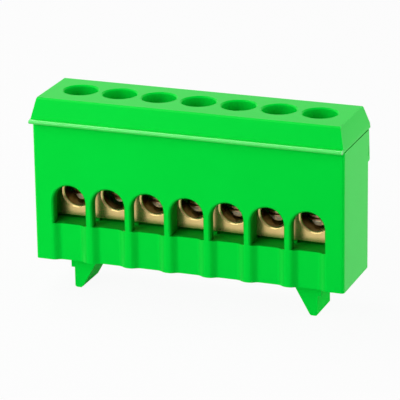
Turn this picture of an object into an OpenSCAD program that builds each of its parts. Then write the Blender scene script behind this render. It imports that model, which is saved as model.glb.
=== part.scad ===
// Insulated terminal bar on two rail feet: a brass bar with clamp screws in a
// moulded housing, under a removable cover with driver holes.
// X runs along the bar, the wires enter from -Y, and the feet stand on Z = 0.

/* [Layout] */
// Number of wire ways
ways = 7; // [6:1:16]
// Distance from one way to the next
pitch = 7; // [6.8:0.1:9]
// Distance from the last way to the end of the housing
end_d = 6.2; // [5.6:0.1:10]

/* [Housing] */
// Distance from the screw row to the front face
front_d = 6.6; // [6:0.1:9]
// Distance from the screw row to the rear face
rear_d = 6.8; // [6:0.1:9]
// Height of the housing from its underside to the seam
body_h = 24; // [23:0.5:30]
// Thickness of the front and rear walls
wall = 1.6; // [1.2:0.1:2]
// Height of the sill at the foot of the wire entries
sill_h = 6.5; // [3:0.1:7]
// Rounding of the upright corners
corner_r = 0.5; // [0.2:0.1:1]
// Thickness of the ribs that locate and carry the bar
rib_t = 1; // [0.8:0.1:1.4]
// Ways that have a locating rib on their right, at the front of the bar
front_ribs = [3, 5];
// Clearance of the bar in its pocket
bar_gap = 0.05; // [0.02:0.01:0.15]

/* [Wire entries] */
// Width of an arched entry
arch_w = 5.7; // [4.8:0.1:6.2]
// Height of an arched entry above the sill
arch_h = 6.8; // [6:0.1:8]
// Chamfer of an entry's rim
rim = 0.35; // [0.1:0.05:0.4]
// Depth of the flutes below the sill
flute_d = 0.66; // [0.3:0.02:0.8]
// Width of a flute's curved side
flute_w = 2; // [1.2:0.1:2.6]
// Flat left on the crest between two flutes
crest_w = 0.2; // [0.1:0.1:0.6]

/* [Rail feet] */
// Height of the feet
foot_h = 5.75; // [4:0.25:8]
// Depth of the feet, front to back
foot_t = 6.7; // [4:0.1:10]
// Gap between the feet where they leave the housing
rail_gap = 34.3; // [30:0.1:36]
// Width across the outside of the feet
feet_w = 43.3; // [42:0.1:45]
// Width of a foot's tip
tip_w = 1.4; // [1:0.1:2.4]
// Step of the thicker root on the outside of a foot
root_step = 0.6; // [0.2:0.1:1]
// Height of that root
root_h = 2.2; // [1:0.1:3]

/* [Cover] */
// Height of the cover above the seam
cover_h = 4.25; // [3.5:0.25:6]
// Draft of the cover's ends
end_draft = 0.8; // [0.2:0.1:1.5]
// Height of the front lip
lip_h = 1.1; // [0.8:0.1:1.6]
// Overhang of the front lip
lip_out = 1.5; // [1:0.1:2]
// Overhang of the front slope where it meets the lip
front_out = 0.5; // [0.2:0.1:0.8]
// Setback of the top's front edge
front_back = 0.4; // [0:0.1:1]
// Overhang of the rear slope at the seam
rear_out = 0.85; // [0.7:0.05:1.1]
// Setback of the top's rear edge
rear_back = 0.85; // [0:0.05:1.2]
// Length of the rear skirt below the seam
skirt_h = 5.7; // [4:0.1:8]
// Overhang of the skirt at its lower edge
skirt_out = 1.3; // [1.2:0.1:1.8]
// Gap between the skirt and the rear wall
skirt_gap = 0.15; // [0.05:0.05:0.3]
// Thickness of the skirt
skirt_t = 0.7; // [0.5:0.05:0.9]
// Overlap of the cover's bead and the catch ridge
catch = 0.25; // [0.15:0.05:0.35]
// Height of the bead, and of the catch ridge
catch_h = 1; // [0.6:0.1:1.4]
// Depth of the plug inside the housing
plug_h = 2.5; // [1.5:0.1:3.5]
// Clearance of the plug in the housing
plug_gap = 0.1; // [0.05:0.05:0.2]
// Diameter of a driver hole
driver_d = 5.75; // [5.6:0.05:6]
// Height of the shadow groove at the seam
groove_h = 0.15; // [0.1:0.05:0.3]
// Depth of the shadow groove at the seam
groove_d = 0.5; // [0.2:0.1:0.8]

/* [Bar and screws] */
// Width of the bar, front to back
bar_w = 6; // [5.6:0.2:7]
// Height of the bar
bar_h = 9; // [8:0.2:10]
// Height of the bar's underside above the sill, on the ribs
bar_lift = 0.3; // [0.1:0.1:1]
// Distance from the last way to the end of the bar
bar_end = 3.75; // [3.4:0.05:4.5]
// Chamfer of the bar's long edges
bar_edge = 0.3; // [0.1:0.1:0.6]
// Diameter of a wire hole
wire_d = 5.2; // [4:0.1:5.4]
// Height of a wire hole's centre above the bar's underside
wire_z = 4.4; // [4:0.1:5]
// Width of the chamfer round a wire hole
wire_edge = 0.4; // [0.2:0.1:0.6]
// Depth of that chamfer
wire_edge_d = 0.25; // [0.1:0.05:0.5]
// Diameter of a clamp screw's thread
screw_d = 4; // [3:0.1:4.4]
// Length of a screw below its head
screw_l = 8; // [7.4:0.1:9]
// Radial clearance of a screw in the bar
screw_gap = 0.05; // [0.02:0.01:0.1]
// Radius of the flat at a screw's tip
tip_r = 1.1; // [0.8:0.1:1.4]
// Height of the cone at a screw's tip
tip_h = 0.7; // [0.7:0.1:1.2]
// Gap under the rim of a tip that is driven home
home_gap = 0.05; // [0.05:0.05:0.3]
// Diameter of a screw's head
head_d = 5.2; // [4.8:0.1:5.4]
// Height of a screw's head
head_h = 2.4; // [2:0.1:3]
// Width of the slot in a screw's head
slot_w = 0.9; // [0.6:0.1:1.2]
// Depth of the slot in a screw's head
slot_d = 1.1; // [0.8:0.1:1.4]
// Thread pitch of a screw
thread_p = 0.7; // [0.5:0.05:0.8]
// Height of each screw above its driven home place
screw_lift = [0.05, 0.45, 0.1, 0.15, 0.05, 0.1, 0];

/* [Hidden] */
$fn = 64;
eps = 0.01;
sink = 0.5;          // how far a joined shape reaches into its carrier
arc_steps = 6;       // straight steps in one arc of a flute or a corner
edge = 0.25;         // small edge break
body_l = (ways - 1) * pitch + 2 * end_d;
bar_l = (ways - 1) * pitch + 2 * bar_end;
sill_z = foot_h + sill_h;
seam_z = foot_h + body_h;
pocket_l = bar_l + 2 * bar_gap;
pocket_front = front_d - wall;
pocket_rear = rear_d - wall;
arch_r = arch_w / 2;
arch_z = sill_z + arch_h - arch_r;
bar_z = sill_z + bar_lift;
bar_top = bar_z + bar_h;
wire_hole_z = bar_z + wire_z;
home_z = wire_hole_z - sqrt(pow(wire_d / 2, 2) - pow(tip_r, 2)) + home_gap;
flute_angle = 2 * atan(flute_d / flute_w);
flute_r = flute_w / (2 * sin(flute_angle));
skirt_z = seam_z - skirt_h;
bead_out = skirt_gap / 2;               // gap left between the bead and the rear wall
ridge_z = skirt_z + catch_h + skirt_gap; // lower edge of the catch ridge
ridge_out = bead_out + catch;
plug_z = seam_z - plug_h;

function way_x(i) = (i - (ways + 1) / 2) * pitch;
function lift(i) = screw_lift[(i - 1) % len(screw_lift)];

// Arc of straight steps about [cx, cy], from angle a0 to a1
function arc(cx, cy, r, a0, a1, n = arc_steps) =
    [for (k = [0:n]) let (a = a0 + (a1 - a0) * k / n) [cx + r * cos(a), cy + r * sin(a)]];

// Prism along X from a [y, z] outline, centred on the screw row
module along_x(length, points)
    translate([-length / 2, 0, 0])
        rotate([90, 0, 90])
            linear_extrude(length) polygon(points);

// Prism along Y from an [x, z] outline, from y0 towards the rear
module along_y(y0, depth, points)
    translate([0, y0, 0])
        rotate([90, 0, 0])
            mirror([0, 0, 1]) linear_extrude(depth) polygon(points);

// Box given by its low and high corners
module block(low, high)
    translate(low) cube(high - low);

// Copies a child to every wire way
module each_way()
    for (i = [1:ways]) translate([way_x(i), 0, 0]) children();

// Plan of the housing with rounded corners
module body_plan() {
    x = body_l / 2 - corner_r;
    polygon(concat(
        arc(x, rear_d - corner_r, corner_r, 0, 90),
        arc(-x, rear_d - corner_r, corner_r, 90, 180),
        arc(-x, corner_r - front_d, corner_r, 180, 270),
        arc(x, corner_r - front_d, corner_r, 270, 360)
    ));
}

// Half of a flute's section: [distance from the crest's edge, depth]
function flute_side() = concat(
    [for (p = arc(0, 0, flute_r, 0, flute_angle)) [p.y, flute_r - p.x]],
    [for (p = arc(0, 0, flute_r, flute_angle, 0)) [flute_w - p.y, flute_d - flute_r + p.x]]
);

// Flute of one way, cut from the front face below the sill
module flute() {
    half = (pitch - crest_w) / 2;
    side = flute_side();
    left = [for (p = side) [p.x - half, p.y - front_d]];
    right = [for (k = [len(side) - 1:-1:0]) [half - side[k].x, side[k].y - front_d]];
    translate([0, 0, foot_h - eps])
        linear_extrude(sill_h + 2 * eps)
            polygon(concat([[-half, -front_d - 1]], left, right, [[half, -front_d - 1]]));
}

// Arched entry of one way, with a chamfered rim at the front
module entry() {
    mid = arch_z - sill_z;
    translate([0, -pocket_front + eps, 0]) {
        block([-arch_r, -wall - 1, sill_z], [arch_r, 0, arch_z]);
        translate([0, 0, arch_z]) rotate([90, 0, 0]) cylinder(h = wall + 1, r = arch_r);
    }
    translate([0, -front_d, arch_z])
        rotate([90, 0, 0])
            translate([0, 0, -rim]) cylinder(h = rim + eps, r1 = arch_r, r2 = arch_r + rim + eps);
    translate([0, -front_d, sill_z])
        linear_extrude(mid)
            polygon([
                [-arch_r - rim - eps, -eps], [arch_r + rim + eps, -eps],
                [arch_r, rim], [-arch_r, rim]
            ]);
}

// Foot on the right: a claw with a slanted inner face
module foot() {
    tip_x = feet_w / 2;
    root_x = tip_x + root_step;
    along_y(-foot_t / 2, foot_t, [
        [rail_gap / 2, foot_h + sink], [rail_gap / 2, foot_h],
        [tip_x - tip_w, edge], [tip_x - tip_w + edge, 0],
        [tip_x - edge, 0], [tip_x, edge],
        [tip_x, foot_h - root_h], [root_x, foot_h - root_h],
        [root_x, foot_h + sink]
    ]);
}

// Rib on the right of a way, from y0 to y1 and up to the height top
module bar_rib(i, y0, y1, top)
    translate([way_x(i) + pitch / 2, 0, 0])
        block([-rib_t / 2, y0, sill_z - sink], [rib_t / 2, y1, top]);

module housing()
    color("limegreen") {
        difference() {
            union() {
                translate([0, 0, foot_h]) linear_extrude(body_h) body_plan();
                along_x(body_l - 2 * end_d, [
                    [rear_d - sink, ridge_z], [rear_d, ridge_z],
                    [rear_d + ridge_out, ridge_z + edge], [rear_d, ridge_z + catch_h],
                    [rear_d - sink, ridge_z + catch_h]
                ]);
                foot();
                mirror([1, 0, 0]) foot();
            }
            block([-pocket_l / 2, -pocket_front, sill_z], [pocket_l / 2, pocket_rear, seam_z + 1]);
            each_way() entry();
            each_way() flute();
        }
        for (i = front_ribs) bar_rib(i, -pocket_front - sink, -bar_w / 2 - bar_gap, bar_top);
        for (i = [1:ways - 1]) {
            bar_rib(i, bar_w / 2 + bar_gap, pocket_rear + sink, bar_top);
            bar_rib(i, -bar_w / 2, bar_w / 2 + sink, bar_z);
        }
    }

// Section of the cover: roof with sloping front and rear
module cover_section()
    along_x(body_l, [
        [-front_d, seam_z], [-front_d - front_out, seam_z + lip_h],
        [-front_d + front_back - edge / 4, seam_z + cover_h - edge],
        [-front_d + front_back + edge, seam_z + cover_h],
        [rear_d - rear_back - edge, seam_z + cover_h],
        [rear_d - rear_back + edge / 4, seam_z + cover_h - edge],
        [rear_d + rear_out, seam_z]
    ]);

// Rounded lip along the front of the cover
module lip() {
    r = lip_h / 2;
    y = -front_d - lip_out + r;
    block([-body_l / 2, y, seam_z], [body_l / 2, -front_d + sink, seam_z + lip_h]);
    translate([-body_l / 2, y, seam_z + r]) rotate([0, 90, 0]) cylinder(h = body_l, r = r);
}

// Skirt behind the rear wall, with the bead along its lower edge
module skirt()
    along_x(body_l - 2 * edge, [
        [rear_d + rear_out, seam_z + eps], [rear_d + skirt_gap, seam_z + eps],
        [rear_d + skirt_out - skirt_t, skirt_z + catch_h],
        [rear_d + bead_out, skirt_z + catch_h - edge], [rear_d + bead_out, skirt_z + edge],
        [rear_d + bead_out + edge, skirt_z], [rear_d + skirt_out - edge, skirt_z],
        [rear_d + skirt_out, skirt_z + edge]
    ]);

// Plug that enters the housing, and a leg over each end of the bar
module plug() {
    x = pocket_l / 2 - plug_gap;
    leg_t = bar_end - head_d / 2 - plug_gap;
    block([-x, -pocket_front + plug_gap, plug_z], [x, pocket_rear - plug_gap, seam_z + sink]);
    for (side = [0, 1])
        mirror([side, 0, 0])
            block([x - leg_t, -bar_w / 2, bar_top + plug_gap], [x, bar_w / 2, plug_z + sink]);
}

module cover()
    color("mediumseagreen")
        difference() {
            union() {
                intersection() {
                    union() {
                        cover_section();
                        lip();
                    }
                    along_y(-front_d - lip_out - 1, front_d + rear_d + lip_out + rear_out + 2, [
                        [-body_l / 2, seam_z], [body_l / 2, seam_z],
                        [body_l / 2, seam_z + lip_h],
                        [body_l / 2 - end_draft, seam_z + cover_h + eps],
                        [end_draft - body_l / 2, seam_z + cover_h + eps],
                        [-body_l / 2, seam_z + lip_h]
                    ]);
                }
                skirt();
                plug();
            }
            each_way() {
                translate([0, 0, plug_z - 1]) cylinder(h = plug_h + cover_h + 2, d = driver_d);
                translate([0, 0, seam_z + cover_h - edge])
                    cylinder(h = edge + eps, d1 = driver_d, d2 = driver_d + 2 * edge);
            }
            seam_groove();
        }

// Shadow groove under the ends and the lip of the cover
module seam_groove() {
    x = body_l / 2 - groove_d;
    for (side = [0, 1])
        mirror([side, 0, 0])
            block([x, -front_d - lip_out - 1, seam_z - eps],
                [x + groove_d + 1, rear_d + rear_out + 1, seam_z + groove_h]);
    block([-body_l / 2 - 1, -front_d - lip_out - 1, seam_z - eps],
        [body_l / 2 + 1, groove_d - front_d, seam_z + groove_h]);
}

module brass_bar()
    color("goldenrod")
        difference() {
            along_x(bar_l, [
                [-bar_w / 2, bar_z + bar_edge], [-bar_w / 2 + bar_edge, bar_z],
                [bar_w / 2 - bar_edge, bar_z], [bar_w / 2, bar_z + bar_edge],
                [bar_w / 2, bar_top - bar_edge], [bar_w / 2 - bar_edge, bar_top],
                [-bar_w / 2 + bar_edge, bar_top], [-bar_w / 2, bar_top - bar_edge]
            ]);
            each_way() {
                wire_hole();
                translate([0, 0, wire_hole_z])
                    cylinder(h = bar_top - wire_hole_z + 1, r = screw_d / 2 + screw_gap);
            }
        }

// Cross hole for a wire, chamfered at both faces of the bar
module wire_hole()
    translate([0, 0, wire_hole_z])
        rotate([90, 0, 0]) {
            cylinder(h = bar_w + 1, d = wire_d, center = true);
            for (side = [0, 1])
                mirror([0, 0, side])
                    translate([0, 0, bar_w / 2 - wire_edge_d])
                        cylinder(h = wire_edge_d + eps, d1 = wire_d, d2 = wire_d + 2 * wire_edge);
        }

// Clamp screw with its tip at the origin
module clamp_screw() {
    top = screw_l + head_h;
    difference() {
        rotate_extrude()
            polygon([
                [0, 0], [tip_r, 0], [screw_d / 2, tip_h], [screw_d / 2, screw_l],
                [head_d / 2, screw_l], [head_d / 2, top - edge], [head_d / 2 - edge, top], [0, top]
            ]);
        block([-head_d, -slot_w / 2, top - slot_d], [head_d, slot_w / 2, top + 1]);
        block([-slot_w / 2, -head_d / 3, top - slot_d], [slot_w / 2, head_d / 3, top + 1]);
    }
}

housing();
cover();
brass_bar();
for (i = [1:ways])
    color("silver")
            translate([way_x(i), 0, home_z + lift(i)])
                rotate([0, 0, 360 * lift(i) / thread_p]) clamp_screw();
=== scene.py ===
# %% [markdown]
# # An insulated terminal bar, dressed for its portrait
#
# The part is a brass bar with clamp screws in a moulded green housing, under a removable cover. Its
# solids come in as a fixed frame at their real size, in metres. Each solid then gets the surface of
# the real piece: rounded moulded edges, drawn brass, and screws with a real thread.

# %% Load the fixed frame
import math

import bpy
from mathutils import Matrix, Vector


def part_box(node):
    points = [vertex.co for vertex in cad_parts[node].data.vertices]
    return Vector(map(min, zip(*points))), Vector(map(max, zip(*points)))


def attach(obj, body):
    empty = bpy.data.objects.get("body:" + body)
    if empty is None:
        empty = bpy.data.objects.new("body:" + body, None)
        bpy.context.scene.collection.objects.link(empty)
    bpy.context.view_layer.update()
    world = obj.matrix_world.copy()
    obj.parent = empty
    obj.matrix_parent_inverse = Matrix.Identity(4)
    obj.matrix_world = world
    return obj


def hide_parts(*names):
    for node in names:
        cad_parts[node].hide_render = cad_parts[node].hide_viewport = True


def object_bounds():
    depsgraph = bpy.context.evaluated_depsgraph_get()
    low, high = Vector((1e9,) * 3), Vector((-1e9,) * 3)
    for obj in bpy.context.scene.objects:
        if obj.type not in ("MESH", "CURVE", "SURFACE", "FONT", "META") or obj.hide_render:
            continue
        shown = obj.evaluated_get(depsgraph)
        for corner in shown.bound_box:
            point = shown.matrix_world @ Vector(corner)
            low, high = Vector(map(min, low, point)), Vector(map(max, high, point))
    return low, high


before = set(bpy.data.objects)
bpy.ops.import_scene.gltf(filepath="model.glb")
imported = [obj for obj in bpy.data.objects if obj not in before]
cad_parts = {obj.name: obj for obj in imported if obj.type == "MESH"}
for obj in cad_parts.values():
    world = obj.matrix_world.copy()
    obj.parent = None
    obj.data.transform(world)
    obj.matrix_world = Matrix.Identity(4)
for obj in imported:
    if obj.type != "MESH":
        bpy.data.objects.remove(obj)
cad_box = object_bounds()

MM = 0.001
low, high = (Vector(corner) for corner in cad_box)
size = high - low
SCREWS = sorted(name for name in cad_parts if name.startswith("clamp_screw_"))
print("solids:", ", ".join(sorted(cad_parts)))
print("size in mm:", [round(side / MM, 1) for side in size])

# %% [markdown]
# ## The camera
#
# A long lens from some way off keeps the upright edges nearly parallel. The camera stands to the
# right of the wire entries and looks down a little, so that the front, the top and the right end
# all show. Its place is worked out from two angles and a distance, which say more than a raw
# position would. The small tilt is a turn about the line of sight.

# %% Camera
AZIMUTH = math.radians(20.76)
ELEVATION = math.radians(19.09)
TILT = math.radians(-0.84)
DISTANCE = 457.7 * MM
LENS = 247.5
LOOK_AT = Vector((0.07 * MM, -0.28 * MM, 0.4974 * size.z))


def add_camera():
    """A camera at those angles about LOOK_AT, made the scene's own."""
    back = Vector((
        math.sin(AZIMUTH) * math.cos(ELEVATION),
        -math.cos(AZIMUTH) * math.cos(ELEVATION),
        math.sin(ELEVATION),
    ))
    camera = bpy.data.objects.new("camera", bpy.data.cameras.new("camera"))
    camera.data.lens = LENS
    camera.data.sensor_width = 36
    camera.location = LOOK_AT + DISTANCE * back
    upright = back.to_track_quat("Z", "Y").to_matrix()
    camera.rotation_euler = (upright @ Matrix.Rotation(TILT, 3, "Z")).to_euler()
    bpy.context.collection.objects.link(camera)
    bpy.context.scene.camera = camera
    return camera


camera = add_camera()
print("camera at (mm):", [round(place / MM) for place in camera.location])

# %% [markdown]
# ## Numbers and colours as expressions
#
# Every finish is a small graph of nodes. Writing the graph as sums and products keeps it readable,
# so one class wraps a socket and turns each operator into a Math node. Any other node comes from
# one method that takes its type, its settings, and what goes into its sockets.


# %% Node helpers
class Value:
    """A socket that can be added, subtracted and multiplied."""

    def __init__(self, finish, socket):
        self.finish = finish
        self.socket = socket

    def maths(self, operation, first, second):
        return self.finish.node("Math", {"operation": operation}, {0: first, 1: second})["Value"]

    def __add__(self, other):
        return self.maths("ADD", self, other)

    def __sub__(self, other):
        return self.maths("SUBTRACT", self, other)

    def __rsub__(self, other):
        return self.maths("SUBTRACT", other, self)

    def __mul__(self, other):
        return self.maths("MULTIPLY", self, other)

    __radd__ = __add__
    __rmul__ = __mul__


class Outputs:
    """The output sockets of a node, each wrapped as a Value when asked for by name."""

    def __init__(self, finish, node):
        self.finish = finish
        self.node = node

    def __getitem__(self, name):
        return Value(self.finish, self.node.outputs[name])


class Finish:
    """The graph of a new material or world, whose nodes are all added by one method."""

    def __init__(self, owner):
        self.owner = owner
        owner.use_nodes = True
        self.nodes = owner.node_tree.nodes
        self.links = owner.node_tree.links
        self.nodes.clear()

    def node(self, kind, settings=None, sockets=None):
        """A node of that kind: its settings first, then a value or a link for each socket."""
        new = self.nodes.new("ShaderNode" + kind)
        for name, setting in (settings or {}).items():
            setattr(new, name, setting)
        for name, content in (sockets or {}).items():
            if isinstance(content, Value):
                self.links.new(content.socket, new.inputs[name])
            else:
                new.inputs[name].default_value = content
        return Outputs(self, new)

    def place(self, scale=1.0):
        """A point on the piece in millimetres, each axis stretched by scale."""
        stretch = scale if isinstance(scale, tuple) else (scale,) * 3
        own = self.node("TexCoord")["Object"]
        return self.node(
            "Mapping", {}, {"Vector": own, "Scale": tuple(s / MM for s in stretch)}
        )["Vector"]

    def axes(self):
        """Where a point is on the piece, in millimetres along X, Y and Z."""
        parts = self.node("SeparateXYZ", {}, {"Vector": self.place()})
        return parts["X"], parts["Y"], parts["Z"]

    def within(self, value, least, most):
        """One between two limits, and nought outside them."""
        half = (most - least) / 2
        middle = (most + least) / 2
        return self.node(
            "Math", {"operation": "COMPARE"}, {0: value, 1: middle, 2: half}
        )["Value"]

    def noise(self, scale, detail):
        """Noise around 0.5 whose lumps are about one over scale millimetres across."""
        return self.node(
            "TexNoise", {}, {"Vector": self.place(scale), "Scale": 1.0, "Detail": detail}
        )["Fac"]

    def blend(self, amount, first, second):
        """A colour between two others."""
        mix = self.node("Mix", {"data_type": "RGBA"}, {"Factor": amount})
        for name, colour in (("A", first), ("B", second)):
            socket = next(s for s in mix.node.inputs if s.name == name and s.type == "RGBA")
            if isinstance(colour, Value):
                self.links.new(colour.socket, socket)
            else:
                socket.default_value = (*colour, 1)
        result = next(s for s in mix.node.outputs if s.type == "RGBA")
        return Value(self, result)

    def bump(self, height, depth_mm, strength):
        """A normal bent by a height between 0 and 1 that stands for depth_mm."""
        sockets = {"Height": height, "Distance": depth_mm * MM, "Strength": strength}
        return self.node("Bump", {}, sockets)["Normal"]

    def surface(self, **sockets):
        """The principled shader that ends the graph; an underscore in a name is a space."""
        named = {name.replace("_", " "): content for name, content in sockets.items()}
        shader = self.node("BsdfPrincipled", {}, named)["BSDF"]
        self.node("OutputMaterial", {}, {"Surface": shader})
        return self.owner


# %% [markdown]
# ## Moulded green plastic
#
# The housing and the cover are the same moulded plastic: one strong green, a satin gloss, and the
# very slight unevenness that a mould leaves. At a steep angle the gloss turns pale, while seen
# square on the sheen stays green, so the specular tint is green. The mould is polished where the
# part shows. Inside the housing, in the seam and on the feet it is not, so those faces are matt.
# The inside and the seam are painted darker, and the flutes a little: painted shade for the shadow
# that falls in them. The lip of the cover is the one edge that hands rub bright, so it gets a
# clear gloss on top.


# %% Green plastic
# Places on the part, in millimetres. The small margins added to them below keep the edge of each
# mask off the faces that it isn't meant for.
FRONT = -6.6
SILL = 12.25
SEAM = 29.75
UNDERSIDE = 5.75
INNER_X = 26.9
INNER_BACK = 6.6
FLUTES_X = 25.0
FLUTES_DEEPEST = FRONT + 0.6
LIP_FRONT = -9.0
LIP_BACK = FRONT - 0.55
LIP_TOP = SEAM + 1.2


def green_plastic():
    finish = Finish(bpy.data.materials.new("green_plastic"))
    cloud = finish.noise(0.12, 2)
    grain = finish.noise(6, 3)
    across, deep, up = finish.axes()
    # The inside mask paints shade on the ledge and walls inside the housing, and also makes them
    # matt.
    inside = (
        finish.within(across, -INNER_X, INNER_X) * finish.within(deep, FRONT + 0.2, INNER_BACK)
        * finish.within(up, SILL - 0.1, SEAM)
    )
    # The seam mask paints shade along the groove and under the lip, and also makes them matt.
    seam = finish.within(up, SEAM - 0.03, SEAM + 0.16)
    # The flute mask paints shade on the sunken flutes and their flanks.
    flutes = (
        finish.within(across, -FLUTES_X, FLUTES_X)
        * finish.within(deep, FRONT + 0.06, FLUTES_DEEPEST) * finish.within(up, UNDERSIDE, SILL)
    )
    # Painted shade: the green is darkened inside the housing, in the seam and on the flutes, for the
    # shadow that falls there.
    painted_shade = 0.6 * inside + 0.8 * seam + 0.13 * flutes
    feet = finish.within(up, -1, UNDERSIDE - 0.1)
    matt = inside + seam + feet
    lip = finish.within(deep, LIP_FRONT, LIP_BACK) * finish.within(up, SEAM - 0.1, LIP_TOP)
    green = finish.blend(cloud, (0.0, 0.63, 0.036), (0.0, 0.67, 0.042))
    return finish.surface(
        # The dark green blended in here is painted shade.
        Base_Color=finish.blend(painted_shade, green, (0.0, 0.16, 0.0)),
        Roughness=0.30 + 0.08 * grain + 0.45 * matt,
        IOR=1.3,
        Specular_Tint=(0.05, 0.35, 0.12, 1.0),
        Coat_Weight=lip,
        Coat_Roughness=0.25,
        Coat_IOR=1.6,
        Normal=finish.bump(grain, 0.01, 0.3),
    )


GREEN = green_plastic()
print("made", GREEN.name)

# %% [markdown]
# ## Drawn brass
#
# The bar was pulled through a die, so fine scratches run along it and everything else about it is
# smooth. The noise is therefore stretched along the bar.


# %% Brass
def drawn_brass():
    finish = Finish(bpy.data.materials.new("drawn_brass"))
    streaks = finish.noise((0.15, 14, 14), 4)
    stain = finish.noise(0.5, 3)
    return finish.surface(
        Base_Color=finish.blend(stain, (0.64, 0.46, 0.17), (0.82, 0.62, 0.27)),
        Metallic=1.0,
        Roughness=0.16 + 0.16 * streaks,
        Normal=finish.bump(streaks, 0.01, 0.4),
    )


BRASS = drawn_brass()
print("made", BRASS.name)

# %% [markdown]
# ## Plated steel
#
# The clamp screws have a thin pale yellow plating over turned steel. Driving them home has worn
# their tips bright, and the threads are coloured a darker brown. Both are told apart by their height.


# %% Plated steel
# Heights over the floor, in millimetres, with the screws as they stand at first.
TIP_TOP = 15.9
THREAD_TOP = 22.5


def plated_steel():
    finish = Finish(bpy.data.materials.new("plated_steel"))
    turning = finish.noise((1, 1, 12), 3)
    plating = finish.blend(turning, (0.66, 0.60, 0.46), (0.86, 0.82, 0.70))
    up = finish.axes()[2]
    thread = finish.within(up, TIP_TOP, THREAD_TOP)
    tip = finish.within(up, TIP_TOP - 2, TIP_TOP)
    return finish.surface(
        Base_Color=finish.blend(thread * 0.85, plating, (0.32, 0.17, 0.06)),
        Metallic=1.0 - 0.5 * tip,
        Roughness=0.22 + 0.14 * turning - 0.08 * tip,
        Normal=finish.bump(turning, 0.006, 0.4),
    )


STEEL = plated_steel()
print("made", STEEL.name)


# %% [markdown]
# ## Tools for shaping a mesh
#
# Blender's operators act on whatever is selected, so each step first selects one piece, and then
# picks its faces, edges or corners by where they are. These few helpers keep that short.


# %% Mesh tools
def select_only(piece):
    """Makes the piece the one that operators act on."""
    bpy.ops.object.select_all(action="DESELECT")
    piece.select_set(True)
    bpy.context.view_layer.objects.active = piece


def edit(piece, kind="VERT", wanted=None):
    """Opens the piece in edit mode with its wanted corners, edges or faces selected, or all of it."""
    select_only(piece)
    bpy.ops.object.mode_set(mode="EDIT")
    bpy.ops.mesh.select_mode(type=kind)
    bpy.ops.mesh.select_all(action="SELECT" if wanted is None else "DESELECT")
    if wanted is not None:
        bpy.ops.object.mode_set(mode="OBJECT")
        corners = piece.data.vertices
        items = {"VERT": corners, "EDGE": piece.data.edges, "FACE": piece.data.polygons}[kind]
        for item in items:
            places = [item.co] if kind == "VERT" else [corners[v].co for v in item.vertices]
            item.select = wanted(places)
        bpy.ops.object.mode_set(mode="EDIT")


def done():
    """Back from edit mode."""
    bpy.ops.object.mode_set(mode="OBJECT")


def apply_modifier(piece, kind, **settings):
    """Adds one modifier with those settings and applies it."""
    select_only(piece)
    bpy.ops.object.modifier_add(type=kind)
    modifier = piece.modifiers[-1]
    for name, setting in settings.items():
        setattr(modifier, name, setting)
    bpy.ops.object.modifier_apply(modifier=modifier.name)


def settle(piece):
    """The piece's place, turn and size go into its mesh, so that its object sits at the origin."""
    select_only(piece)
    bpy.ops.object.transform_apply(location=True, rotation=True, scale=True)


def give(piece, material):
    """One material all over the piece."""
    piece.data.materials.clear()
    piece.data.materials.append(material)


# %% [markdown]
# ## Moulded edges
#
# No edge of a real moulding or of a drawn bar is perfectly sharp: a narrow rounding along it
# catches the light. The exact solids have the main chamfers, and a copy of each gets the fine
# rounding. Its loose triangles are merged and joined into whole faces first, because a bevel
# follows real edges. Weighted normals then keep the broad faces flat and the roundings smooth.
#
# Two pieces are also reshaped before the bevel. The lip of the cover is lowered. The wire holes in
# the bar are narrowed about their own axes, while a corner on the wall of a tapped hole only moves
# up or down that wall, to where the narrower wire hole meets it.


# %% Rounded copies
LIP_LOWER = 0.73
WIRE_HOLE = 16.95
WIRE_RIM_R = 3.05 * MM
NARROWER = 0.9
TAP_R = 2.05 * MM


def rounded_copy(node_name, piece_name, rounding, reshape=None):
    """A copy of a solid with a fine rounding along its sharp edges, shown in the solid's place."""
    piece = bpy.data.objects.new(piece_name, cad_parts[node_name].data.copy())
    bpy.context.collection.objects.link(piece)
    edit(piece)
    bpy.ops.mesh.remove_doubles(threshold=0.001 * MM)
    bpy.ops.mesh.dissolve_limited(angle_limit=math.radians(0.3))
    done()
    if reshape:
        reshape(piece)
    apply_modifier(
        piece, "BEVEL", width=rounding, segments=2, limit_method="ANGLE",
        angle_limit=math.radians(28), miter_outer="MITER_SHARP", use_clamp_overlap=True,
    )
    bpy.ops.object.shade_smooth_by_angle(angle=math.radians(32))
    apply_modifier(piece, "WEIGHTED_NORMAL", keep_sharp=True, weight=90)
    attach(piece, "base")
    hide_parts(node_name)
    print(piece_name, "has", len(piece.data.polygons), "faces")
    return piece


def flatten_lip(cover):
    """The lip along the front of the cover is a little lower than on the solid."""
    # The lip's corners are all further out than this, and below this height.
    front, above = (FRONT - 0.45) * MM, (SEAM + 1.15) * MM
    edit(cover, "VERT", lambda places: places[0].y < front and places[0].z < above)
    bpy.ops.transform.resize(value=(1, 1, LIP_LOWER), center_override=(0, 0, SEAM * MM))
    done()


def narrow_wire_holes(bar):
    """The wire holes are a little narrower than on the solid; the tapped holes keep their width."""
    for name in SCREWS:
        solid_low, solid_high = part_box(name)
        centre = Vector(((solid_low.x + solid_high.x) / 2, 0, WIRE_HOLE * MM))
        for corner in bar.data.vertices:
            out = corner.co - centre
            from_wire = math.hypot(out.x, out.z)
            from_screw = math.hypot(out.x, out.y)
            if from_wire > WIRE_RIM_R:
                continue
            if abs(from_screw - TAP_R) < 0.01 * MM:
                height = math.sqrt((NARROWER * from_wire) ** 2 - out.x ** 2)
                corner.co.z = centre.z + math.copysign(height, out.z)
            else:
                corner.co.x = centre.x + NARROWER * out.x
                corner.co.z = centre.z + NARROWER * out.z


housing = rounded_copy("housing", "moulded_housing", 0.10 * MM)
give(housing, GREEN)
cover = rounded_copy("cover", "moulded_cover", 0.12 * MM, flatten_lip)
give(cover, GREEN)
bar = rounded_copy("brass_bar", "drawn_bar", 0.05 * MM, narrow_wire_holes)
give(bar, BRASS)

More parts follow.
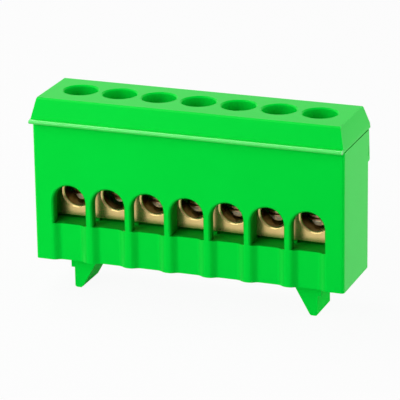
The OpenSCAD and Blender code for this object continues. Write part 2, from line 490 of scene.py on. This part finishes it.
# %% [markdown]
# ## A clamp screw with a real thread
#
# The shank is rolled, so its thread is a ridge that climbs one pitch in each turn. The profile of
# one turn is an upright line whose middle is pushed out. A Screw modifier turns it round the axis
# and lifts it as it goes, so it sweeps out the thread. Every turn ends where the next begins, and
# the seams are merged. The crest is a little narrower than the tapped hole, so the screw clears the
# bar all along its travel.

# %% Sizes of a clamp screw
SCREW_BOXES = {name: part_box(name) for name in SCREWS}
first_low, first_high = SCREW_BOXES[SCREWS[0]]
SCREW_H = first_high.z - first_low.z
HEAD_R = (first_high.y - first_low.y) / 2
HEAD_H = 2.4 * MM
SHANK_R = 1.88 * MM
TIP_R = 1.2 * MM
TIP_H = 0.85 * MM
TIP_END = 0.35 * MM
INTO_HEAD = 0.3 * MM
PITCH = 0.7 * MM
THREAD_DEPTH = 0.42 * MM
SLOT_W = 0.9 * MM
SLOT_D = 1.1 * MM
print("screw length and head in mm:", round(SCREW_H / MM, 2), round(2 * HEAD_R / MM, 2))


# %% Thread
def threaded_shank():
    """A thread from the origin up to beyond the screw's length, still open at both ends."""
    root_r = SHANK_R - THREAD_DEPTH
    bpy.ops.object.select_all(action="DESELECT")
    bpy.ops.mesh.primitive_plane_add(
        size=PITCH, location=(root_r + PITCH / 2, 0, PITCH / 2), rotation=(math.pi / 2, 0, 0)
    )
    shank = bpy.context.object
    settle(shank)
    edit(shank, "VERT", lambda places: places[0].x > root_r + PITCH / 2)
    bpy.ops.mesh.delete(type="VERT")
    bpy.ops.mesh.select_all(action="SELECT")
    bpy.ops.mesh.subdivide(number_cuts=7)
    done()
    for steps_from_middle, share in ((1.2, 0.5), (2.2, 0.5)):
        reach = steps_from_middle * PITCH / 8
        edit(shank, "VERT", lambda places: abs(places[0].z - PITCH / 2) < reach)
        bpy.ops.transform.translate(value=(share * THREAD_DEPTH, 0, 0))
        done()
    turns = math.ceil(SCREW_H / PITCH) + 1
    apply_modifier(
        shank, "SCREW", axis="Z", angle=math.tau, screw_offset=PITCH, iterations=turns,
        steps=36, render_steps=36,
    )
    edit(shank)
    bpy.ops.mesh.remove_doubles(threshold=0.002 * MM)
    done()
    return shank


shank = threaded_shank()
print("thread:", len(shank.data.polygons), "faces,", len(shank.data.vertices), "corners")

# %% [markdown]
# ## Ends of the shank
#
# The thread is cut off level at both ends, which also closes it. Below the lower cut, the tip
# narrows to a small flat that presses on the wire: the cap is pushed down and drawn in. A cut
# treats corners within its threshold as lying on it, so the threshold is far smaller than a step
# of the thread.


# %% Cut to length and pointed
def cut_and_point(shank):
    """Cuts the shank to its length, with its upper end in the head, and narrows its tip."""
    cone_top = TIP_END + TIP_H
    for height, direction in ((cone_top, -1), (SCREW_H - HEAD_H + INTO_HEAD, 1)):
        edit(shank)
        bpy.ops.mesh.bisect(
            plane_co=(0, 0, height), plane_no=(0, 0, direction), use_fill=True,
            clear_outer=True, threshold=0.001 * MM,
        )
        done()
    edit(shank, "FACE", lambda places: all(abs(p.z - cone_top) < 0.001 * MM for p in places))
    bpy.ops.mesh.extrude_region_move(TRANSFORM_OT_translate={"value": (0, 0, -TIP_H)})
    draw_in = TIP_R / SHANK_R
    bpy.ops.transform.resize(value=(draw_in, draw_in, 1), center_override=(0, 0, 0))
    bpy.ops.mesh.select_all(action="SELECT")
    bpy.ops.mesh.normals_make_consistent(inside=False)
    done()


cut_and_point(shank)
print("shank from", round(min(v.co.z for v in shank.data.vertices) / MM, 3), "mm up")

# %% [markdown]
# ## Head with a slot and a cross
#
# The head is turned, so it starts as a cylinder whose rims are rounded, the upper one more than
# the lower. A long slot and a shorter one across it take a flat or a cross driver. Each is cut with
# a box.


# %% Head
HEAD_RIM = 0.25 * MM
HEAD_UNDERSIDE = 0.12 * MM


def cut_box(piece, half_x, half_y, floor_z):
    """Cuts away a box of that half width and half depth, from floor_z up."""
    bpy.ops.object.select_all(action="DESELECT")
    bpy.ops.mesh.primitive_cube_add(size=2, location=(0, 0, floor_z + 2 * MM))
    cutter = bpy.context.object
    cutter.scale = (half_x, half_y, 2 * MM)
    settle(cutter)
    apply_modifier(piece, "BOOLEAN", operation="DIFFERENCE", solver="EXACT", object=cutter)
    bpy.data.objects.remove(cutter)


def add_head():
    """The head, with its rounded rims and its two slots."""
    under = SCREW_H - HEAD_H
    bpy.ops.object.select_all(action="DESELECT")
    bpy.ops.mesh.primitive_cylinder_add(
        vertices=64, radius=HEAD_R, depth=HEAD_H, location=(0, 0, under + HEAD_H / 2)
    )
    head = bpy.context.object
    settle(head)
    edit(head, "EDGE", lambda places: all(p.z > SCREW_H - 0.01 * MM for p in places))
    bpy.ops.mesh.bevel(offset=HEAD_RIM, segments=3, affect="EDGES")
    done()
    edit(head, "EDGE", lambda places: all(p.z < under + 0.01 * MM for p in places))
    bpy.ops.mesh.bevel(offset=HEAD_UNDERSIDE, segments=2, affect="EDGES")
    done()
    for half_length, half_width in ((2 * HEAD_R, SLOT_W / 2), (SLOT_W / 2, HEAD_R * 2 / 3)):
        cut_box(head, half_length, half_width, SCREW_H - SLOT_D)
    return head


head = add_head()
apply_modifier(head, "BOOLEAN", operation="UNION", solver="EXACT", object=shank)
bpy.data.objects.remove(shank)
pattern_screw = head
pattern_screw.name = "pattern_screw"
select_only(pattern_screw)
bpy.ops.object.shade_smooth_by_angle(angle=math.radians(35))
print("screw:", len(pattern_screw.data.polygons), "faces")

# %% [markdown]
# ## Seven screws, each turned as far as it is raised
#
# A screw that stands higher has been turned back by as much, so each copy is turned by its height
# over the lowest one, one full turn for each pitch. Each rides on the body of its own solid.


# %% Copies in their ways
def place_screw(name):
    """A copy of the pattern at the solid of that name, on that solid's body."""
    solid_low, solid_high = SCREW_BOXES[name]
    raised = solid_low.z - min(box[0].z for box in SCREW_BOXES.values())
    screw = bpy.data.objects.new("threaded_" + name, pattern_screw.data.copy())
    bpy.context.collection.objects.link(screw)
    screw.rotation_euler.z = math.tau * raised / PITCH
    screw.location = ((solid_low.x + solid_high.x) / 2, 0, solid_low.z)
    settle(screw)
    give(screw, STEEL)
    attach(screw, name.replace("clamp_", ""))
    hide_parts(name)
    return raised


for name in SCREWS:
    print(name, "raised by", round(place_screw(name) / MM, 2), "mm")
bpy.data.objects.remove(pattern_screw)

# %% [markdown]
# ## The solids themselves
#
# The dressed pieces stand in for the solids. The solids keep their shape, and get the same finishes.

# %% The solids' own finish
OWN_FINISH = {"housing": GREEN, "cover": GREEN, "brass_bar": BRASS}
for name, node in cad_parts.items():
    node.material_slots[0].material = OWN_FINISH.get(name, STEEL)
print("finished", len(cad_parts), "solids")

# %% [markdown]
# ## Floor, backdrop and light
#
# The part stands on a plain white floor. The lamps are large and soft: one from the left, one from
# the front, one higher up between them that the chamfers catch, one for the right end, and one
# overhead behind the part for its top. Reflections see white behind the part and above it, and a
# darker room in front of it, which gives the brass its contrast.


# %% Stage
SHOWN_WHITE = 0.94
MIRRORED_WHITE = 0.85
LAMP_SIZE = 0.35
LAMP_DISTANCE = 0.5


def white_stage(name):
    """White to the eye and in reflections, and a plain pale surface for light and shadow."""
    finish = Finish(bpy.data.materials.new(name))
    path = finish.node("LightPath")
    seen = (
        path["Is Camera Ray"] + path["Is Transmission Ray"]
        + MIRRORED_WHITE * path["Is Glossy Ray"]
    )
    plain = finish.node("BsdfDiffuse", {}, {"Color": (0.6, 0.6, 0.6, 1)})["BSDF"]
    white = finish.node("Emission", {}, {"Color": (1, 1, 1, 1), "Strength": 1.0})["Emission"]
    both = finish.node("MixShader", {}, {0: seen * SHOWN_WHITE, 1: plain, 2: white})["Shader"]
    finish.node("OutputMaterial", {}, {"Surface": both})
    return finish.owner


def add_floor():
    bpy.ops.object.select_all(action="DESELECT")
    bpy.ops.mesh.primitive_plane_add(size=6, location=(0, 0, low.z))
    floor = bpy.context.object
    floor.name = "floor"
    floor.data.materials.append(white_stage("floor_white"))


def add_lamp(name, azimuth, elevation, watts):
    """A square soft lamp that looks at the part from an angle, in degrees."""
    turn, lift = math.radians(azimuth), math.radians(elevation)
    out = Vector((
        math.sin(turn) * math.cos(lift), -math.cos(turn) * math.cos(lift), math.sin(lift)
    ))
    lamp = bpy.data.objects.new(name, bpy.data.lights.new(name, "AREA"))
    lamp.data.shape = "SQUARE"
    lamp.data.size = LAMP_SIZE
    lamp.data.energy = watts
    lamp.location = LOOK_AT + LAMP_DISTANCE * out
    lamp.rotation_euler = out.to_track_quat("Z", "Y").to_euler()
    bpy.context.collection.objects.link(lamp)


def add_world():
    """White to the eye, white behind the part in reflections, and a dim even light for the rest."""
    finish = Finish(bpy.data.worlds.new("surroundings"))
    path = finish.node("LightPath")
    ray = finish.node("SeparateXYZ", {}, {"Vector": finish.node("TexCoord")["Generated"]})
    toward = ray["Y"] + 1.2 * ray["Z"]
    behind = finish.node(
        "MapRange", {"interpolation_type": "SMOOTHSTEP"},
        {
            "Value": toward, "From Min": -0.3, "From Max": 0.3,
            "To Min": 0.2, "To Max": MIRRORED_WHITE,
        },
    )["Result"]
    share = (
        path["Is Camera Ray"] + path["Is Transmission Ray"]
        + path["Is Glossy Ray"] * behind + path["Is Diffuse Ray"] * 0.03
    )
    black = finish.node("Background", {}, {"Color": (0, 0, 0, 1)})["Background"]
    white = finish.node("Background", {}, {"Color": (1, 1, 1, 1), "Strength": 1.0})["Background"]
    both = finish.node("MixShader", {}, {0: share, 1: black, 2: white})["Shader"]
    finish.node("OutputWorld", {}, {"Surface": both})
    bpy.context.scene.world = finish.owner


add_floor()
add_world()
add_lamp("left", -42, 12, 1.53)
add_lamp("front", -5, 8, 0.8)
add_lamp("high", -32, 42, 0.7)
add_lamp("right_end", 100, 15, 1.8)
add_lamp("overhead", -120, 62, 1.6)
bpy.context.scene.view_settings.view_transform = "Standard"
